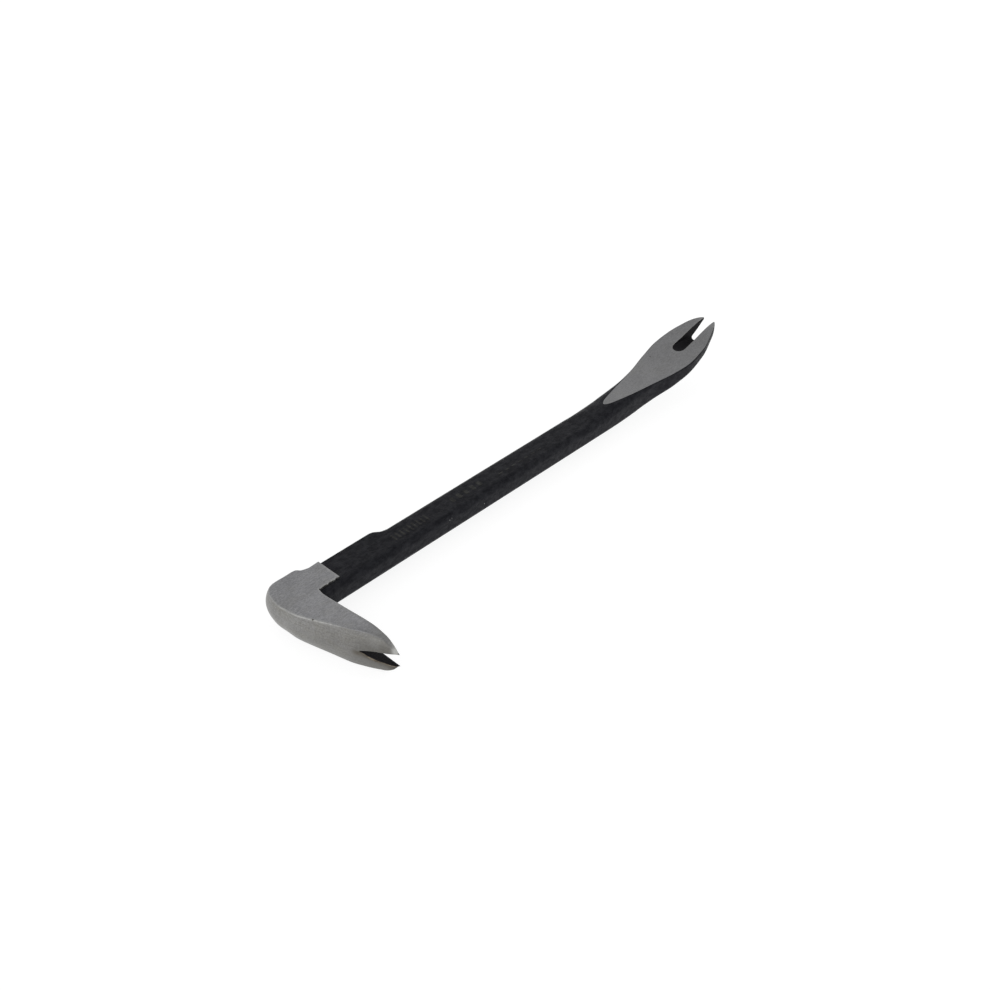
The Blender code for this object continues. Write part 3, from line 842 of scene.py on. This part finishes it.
def build_coat(black, dark, worn):
    """The black coat, a thin sleeve round the shank and under the flat claw."""
    coat = make_object("black_coat_skin", fine_bar(COAT_START_X, TIP_X), [black])
    core = make_object("coat_core", plain_bar(ROOM_START_X, COAT_END_X + CUT_OVER, COAT))
    combine(coat, coat_region(2.0 * HAIRLINE), "INTERSECT")
    combine(coat, core, "DIFFERENCE")
    combine(coat, make_object("leaf_window", leaf_plate(0.0)), "DIFFERENCE")
    combine(coat, far_slot(dark, dark), "DIFFERENCE")
    combine(coat, raised_marks(worn), "UNION")
    finish(coat)
    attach(coat, "root")
    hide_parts("black_coating")
    return coat


# ---------------------------------------------------------------- materials

def principled(name, metallic):
    """A new Principled BSDF material, with its node tree and shader."""
    mat = bpy.data.materials.new(name)
    mat.use_nodes = True
    shader = mat.node_tree.nodes["Principled BSDF"]
    shader.inputs["Metallic"].default_value = metallic
    return mat, mat.node_tree, shader


def node(tree, kind, inputs, **settings):
    """A new node. Each of its inputs is either a value or a socket to link."""
    new = tree.nodes.new(kind)
    for name, value in settings.items():
        setattr(new, name, value)
    for key, value in inputs.items():
        if isinstance(value, bpy.types.NodeSocket):
            tree.links.new(value, new.inputs[key])
        else:
            new.inputs[key].default_value = value
    return new


def calc(tree, operation, *values):
    """Result of a math node."""
    return node(tree, "ShaderNodeMath", dict(enumerate(values)), operation=operation).outputs[0]


def change(tree, value, low, high, to_low, to_high):
    """Value mapped from low..high to to_low..to_high, smoothly and without going past either end."""
    inputs = {"Value": value, "From Min": low, "From Max": high, "To Min": to_low, "To Max": to_high}
    return node(tree, "ShaderNodeMapRange", inputs, interpolation_type="SMOOTHSTEP").outputs["Result"]


def blend(tree, share, a, b, kind="RGBA", mode="MIX"):
    """Mix of two colours (kind RGBA) or two numbers (kind FLOAT)."""
    first = {"RGBA": 6, "FLOAT": 2}[kind]
    mix = node(tree, "ShaderNodeMix", {}, data_type=kind, blend_type=mode)
    for key, value in ((0, share), (first, a), (first + 1, b)):
        if isinstance(value, bpy.types.NodeSocket):
            tree.links.new(value, mix.inputs[key])
        else:
            mix.inputs[key].default_value = value
    return mix.outputs[{"RGBA": 2, "FLOAT": 0}[kind]]


def noise(tree, place, stretch, detail, rough=0.55):
    """Noise of the place after a stretch, which is its number of features per millimetre on each axis."""
    stretched = node(tree, "ShaderNodeVectorMath", {0: place, 1: stretch}, operation="MULTIPLY").outputs[0]
    inputs = {"Vector": stretched, "Scale": 1.0, "Detail": detail, "Roughness": rough}
    return node(tree, "ShaderNodeTexNoise", inputs).outputs[0]


def drawing_place(tree):
    """Socket with the drawing place in millimetres of the point that is shaded."""
    at = node(tree, "ShaderNodeTexCoord", {}).outputs["Object"]
    inputs = {0: at, 1: (1.0 / MM,) * 3, 2: tuple(-o for o in ORIGIN)}
    return node(tree, "ShaderNodeVectorMath", inputs, operation="MULTIPLY_ADD").outputs[0]


def spot(tree, place, centre, radius, soft):
    """Mask of a round spot: one inside radius, and none beyond radius and soft."""
    away = node(tree, "ShaderNodeVectorMath", {0: place, 1: centre}, operation="DISTANCE").outputs["Value"]
    return change(tree, away, radius, radius + soft, 1.0, 0.0)


def bump(tree, shader, height, distance, strength=1.0):
    """Drive the shader's normal with a height map of the given depth in millimetres."""
    inputs = {"Height": height, "Distance": distance * MM, "Strength": strength}
    normal = node(tree, "ShaderNodeBump", inputs).outputs["Normal"]
    tree.links.new(normal, shader.inputs["Normal"])


def attribute(tree, name):
    """Socket with a mesh attribute."""
    return node(tree, "ShaderNodeAttribute", {}, attribute_name=name).outputs["Fac"]


def opaque(colour):
    """A linear RGB colour with its alpha."""
    return (*colour, 1.0)


def product(tree, a, b):
    """Product of two numbers or sockets."""
    return calc(tree, "MULTIPLY", a, b)


def slot_tint(tree, xyz, grain):
    """Mask of the heat tint on the lower tine: strongest along the slot, and gone before its root."""
    inputs = {"Value": xyz["Y"], "From Min": HEAD_SLOT_ROOT_Y, "From Max": -HEAD_SLOT_REACH,
              "To Min": -HEAD_SLOT_ROOT_HALF, "To Max": -HEAD_SLOT_MOUTH_HALF}
    edge = node(tree, "ShaderNodeMapRange", inputs).outputs["Result"]
    below = calc(tree, "SUBTRACT", edge, xyz["Z"])
    share = product(tree, change(tree, below, *TINT_FADE_IN, 0.0, 1.0),
                    change(tree, below, *TINT_FADE_OUT, 1.0, 0.0))
    near, far = [HEAD_SLOT_ROOT_Y + distance for distance in TINT_ROOT_FADE]
    share = product(tree, share, change(tree, xyz["Y"], near, far, 1.0, 0.0))
    return product(tree, share, change(tree, grain, 0.3, 0.7, 0.5, 0.95))


def rim_stain(tree, place, xyz):
    """Mask of the dark, hatched stain along the hook's inner rim, which fades towards the shank."""
    rim = change(tree, xyz["X"], INNER_FACE_X - INNER_RIM_DARK, INNER_FACE_X, 0.0, 0.75)
    rim = product(tree, rim, change(tree, xyz["Y"], *RIM_STAIN_FADE, 1.0, 0.0))
    hatch = change(tree, noise(tree, place, HATCH, 2.0), 0.4, 0.6, 0.1, 1.0)
    return product(tree, rim, hatch)


def ground_colour(tree, place, flat, lines, grain):
    """Colour of freshly ground steel: cool and warm patches, each shaded by the grinding marks."""
    cloud = noise(tree, place, CLOUD, 3.0)
    tint = noise(tree, place, WARM_PATCHES, 2.0)
    shade = calc(tree, "MULTIPLY_ADD", lines, 0.60, product(tree, grain, 1.60))
    shade = calc(tree, "MULTIPLY_ADD", cloud, 0.25, shade)
    level = change(tree, shade, 0.88, 1.57, 0.0, 1.0)
    cool = blend(tree, level, opaque(STEEL_COOL_DARK), opaque(STEEL_COOL_LIGHT))
    warm = blend(tree, level, opaque(STEEL_WARM_DARK), opaque(STEEL_WARM_LIGHT))
    patches = change(tree, tint, 0.3, 0.7, 0.55, 0.95)
    warmth = calc(tree, "SUBTRACT", patches, product(tree, flat, 0.7))
    return blend(tree, calc(tree, "MAXIMUM", warmth, 0.0), cool, warm)


def worn_and_highlit_rims(tree, place):
    """Mask of the rims that use has polished, in patches, which also paints a highlight along them and at the
    claw's tip.
    """
    patchy = change(tree, noise(tree, place, WEAR_PATCHES, 3.0), 0.3, 0.6, 0.35, 1.0)
    return product(tree, change(tree, attribute(tree, "wear"), 0.1, 0.8, 0.0, 1.0), patchy)


def with_stains_shade_and_highlights(tree, place, colour):
    """The colour with the small stains, the painted floor shade and the painted highlights laid over it."""
    for spots, paint in ((STAINS_AND_SHADE, STAIN_AND_SHADE_COLOUR), (PAINTED_HIGHLIGHTS, STEEL_WORN_AND_HIGHLIGHT)):
        for centre, radius, soft, strength in spots:
            share = product(tree, spot(tree, place, centre, radius, soft), strength)
            colour = blend(tree, share, colour, opaque(paint))
    return colour


def ground_steel():
    """Bare steel with grinding marks: along X on the flat faces and along its length on the band."""
    mat, tree, shader = principled("ground_steel_brushed", 1.0)
    place = drawing_place(tree)
    xyz = node(tree, "ShaderNodeSeparateXYZ", {0: place}).outputs
    normal = node(tree, "ShaderNodeTexCoord", {}).outputs["Normal"]
    up = calc(tree, "ABSOLUTE", node(tree, "ShaderNodeSeparateXYZ", {0: normal}).outputs["Z"])
    flat = change(tree, up, 0.6, 0.85, 0.0, 1.0)
    band_place = node(tree, "ShaderNodeCombineXYZ", {0: attribute(tree, "along"), 1: xyz["Z"]}).outputs[0]
    band_lines = noise(tree, band_place, BAND_LINES, 5.0, 0.7)
    lines = blend(tree, flat, band_lines, noise(tree, place, FACE_LINES, 5.0), "FLOAT")
    grain = noise(tree, place, GRAIN, 6.0, 0.9)

    colour = ground_colour(tree, place, flat, lines, grain)
    colour = blend(tree, rim_stain(tree, place, xyz), colour, opaque(STAIN_AND_SHADE_COLOUR))
    colour = blend(tree, slot_tint(tree, xyz, grain), colour, opaque(TINT_COLOUR))
    leaf_x = LEAF_HALF[0][0]
    dull = change(tree, xyz["X"], leaf_x - LEAF_FADE, leaf_x, 0.0, LEAF_DULLNESS)
    colour = blend(tree, dull, colour, opaque(STEEL_DULL))
    # Rim wear, with a painted highlight along the rims and brightest at the claw's tip
    wear = worn_and_highlit_rims(tree, place)
    colour = blend(tree, wear, colour, opaque(STEEL_WORN_AND_HIGHLIGHT))
    # Stains, painted floor shade low on the band, and painted highlights at the claw's tip
    tree.links.new(with_stains_shade_and_highlights(tree, place, colour), shader.inputs["Base Color"])

    rough = calc(tree, "MULTIPLY_ADD", lines, 0.16, calc(tree, "MULTIPLY_ADD", grain, 0.10, 0.26))
    rough = calc(tree, "SUBTRACT", rough, product(tree, wear, 0.08))
    tree.links.new(rough, shader.inputs["Roughness"])
    bump(tree, shader, calc(tree, "MULTIPLY_ADD", grain, 0.8, lines), STEEL_RELIEF)
    return mat


def satin_black(name, dark, light, wear):
    """Satin black coat over a forging: mottled, with a fine orange peel and a little rubbed-off wear."""
    mat, tree, shader = principled(name, 0.0)
    place = drawing_place(tree)
    mottle = noise(tree, place, COAT_MOTTLE, 4.0, 0.6)
    peel = noise(tree, place, COAT_PEEL, 3.0)
    rub = noise(tree, place, COAT_RUB, 4.0, 0.7)
    level = change(tree, calc(tree, "MULTIPLY_ADD", peel, 0.35, mottle), 0.45, 0.95, 0.0, 1.0)
    colour = blend(tree, level, opaque(dark), opaque(light))
    colour = blend(tree, change(tree, rub, 0.56, 0.74, 0.0, wear), colour, opaque(COAT_RUBBED))
    for centre, radius in CHIPS:
        colour = blend(tree, spot(tree, place, centre, radius, radius), colour, opaque(CHIP_COLOUR))
    tree.links.new(colour, shader.inputs["Base Color"])
    tree.links.new(change(tree, level, 0.0, 1.0, 0.52, 0.40), shader.inputs["Roughness"])
    shader.inputs["Specular IOR Level"].default_value = COAT_SPECULAR
    bump(tree, shader, calc(tree, "MULTIPLY_ADD", mottle, 1.6, peel), COAT_RELIEF)
    return mat


def slot_scale():
    """Unground black scale on the slots' walls, rougher than the coat."""
    mat, tree, shader = principled("slot_dark_scale", 0.0)
    place = drawing_place(tree)
    crust = noise(tree, place, SCALE_CRUST, 4.0, 0.6)
    level = change(tree, crust, 0.35, 0.7, 0.0, 1.0)
    colour = blend(tree, level, opaque(SCALE_DARK), opaque(SCALE_LIGHT))
    tree.links.new(colour, shader.inputs["Base Color"])
    tree.links.new(change(tree, crust, 0.3, 0.7, 0.5, 0.75), shader.inputs["Roughness"])
    shader.inputs["Specular IOR Level"].default_value = COAT_SPECULAR
    bump(tree, shader, crust, SCALE_RELIEF)
    return mat


def slot_edge_steel():
    """Brown heat tint on the rolled edge of the hooked claw's slot."""
    mat, tree, shader = principled("slot_edge_tinted", 1.0)
    place = drawing_place(tree)
    grain = noise(tree, place, EDGE_GRAIN, 2.0)
    level = change(tree, noise(tree, place, EDGE_BLOTCH, 4.0), 0.35, 0.65, 0.0, 1.0)
    colour = blend(tree, level, opaque(EDGE_TINT_DARK), opaque(EDGE_TINT_LIGHT))
    tree.links.new(colour, shader.inputs["Base Color"])
    tree.links.new(change(tree, grain, 0.3, 0.7, 0.4, 0.58), shader.inputs["Roughness"])
    bump(tree, shader, grain, EDGE_RELIEF)
    return mat


# ---------------------------------------------------------------- stage

def add_area(name, size, power, place, target):
    """A square soft light at a place in the row frame, aimed at a target."""
    light = bpy.data.lights.new(name, "AREA")
    light.shape = "SQUARE"
    light.size = size
    light.energy = power
    obj = bpy.data.objects.new(name, light)
    bpy.context.scene.collection.objects.link(obj)
    obj.location = place
    obj.rotation_mode = "QUATERNION"
    obj.rotation_quaternion = (Vector(target) - Vector(place)).to_track_quat("-Z", "Y")
    return obj


def build_sky():
    """Soft white light from all round, brighter low down than overhead."""
    world = bpy.data.worlds.new("studio")
    world.use_nodes = True
    tree = world.node_tree
    direction = node(tree, "ShaderNodeTexCoord", {}).outputs["Generated"]
    height = node(tree, "ShaderNodeSeparateXYZ", {0: direction}).outputs["Z"]
    sky = node(tree, "ShaderNodeMapRange", {"Value": height, "To Min": SKY_LOW, "To Max": SKY_HIGH})
    tree.nodes["Background"].inputs["Color"].default_value = WHITE
    tree.links.new(sky.outputs["Result"], tree.nodes["Background"].inputs["Strength"])
    bpy.context.scene.world = world


def build_floor(low):
    """Plain pale floor just under the part's lowest point."""
    bpy.ops.mesh.primitive_plane_add(size=FLOOR_SIZE, location=(0.0, 0.0, low.z - FLOOR_GAP))
    floor = bpy.context.object
    floor.name = "floor"
    mat, _, shader = principled("pale_floor", 0.0)
    shader.inputs["Base Color"].default_value = opaque(FLOOR_COLOUR)
    shader.inputs["Roughness"].default_value = 0.9
    shader.inputs["Emission Color"].default_value = WHITE
    shader.inputs["Emission Strength"].default_value = FLOOR_GLOW
    floor.data.materials.append(mat)


def build_stage(low):
    """Plain pale floor, soft light all round and two soft boxes."""
    bpy.context.scene.view_settings.view_transform = "Standard"
    build_sky()
    build_floor(low)
    for name, size, power, place in SOFTBOXES:
        add_area(name, size, power, place, (0.0, 0.0, 0.0))


def build_camera():
    """Camera at the fitted angle and distance."""
    azimuth = math.radians(CAMERA_AZIMUTH)
    elevation = math.radians(CAMERA_ELEVATION)
    forward = Vector((math.sin(azimuth) * math.cos(elevation), math.cos(azimuth) * math.cos(elevation),
                      -math.sin(elevation)))
    data = bpy.data.cameras.new("camera")
    data.lens = CAMERA_LENS
    data.sensor_width = 36.0
    data.clip_start = 0.01
    obj = bpy.data.objects.new("camera", data)
    bpy.context.scene.collection.objects.link(obj)
    obj.rotation_mode = "QUATERNION"
    obj.rotation_quaternion = forward.to_track_quat("-Z", "Y")
    obj.location = to_row(CAMERA_TARGET) - forward * CAMERA_DISTANCE * MM
    bpy.context.scene.camera = obj


def main():
    """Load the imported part, replace its two pieces, and set the stage and the camera."""
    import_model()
    cad_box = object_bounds()
    dark = slot_scale()
    build_steel(ground_steel(), dark, slot_edge_steel())
    build_coat(satin_black("black_coat_satin", COAT_DARK, COAT_LIGHT, 0.5), dark,
               satin_black("black_coat_worn", MARK_DARK, MARK_LIGHT, 0.2))
    build_stage(cad_box[0])
    build_camera()


main()
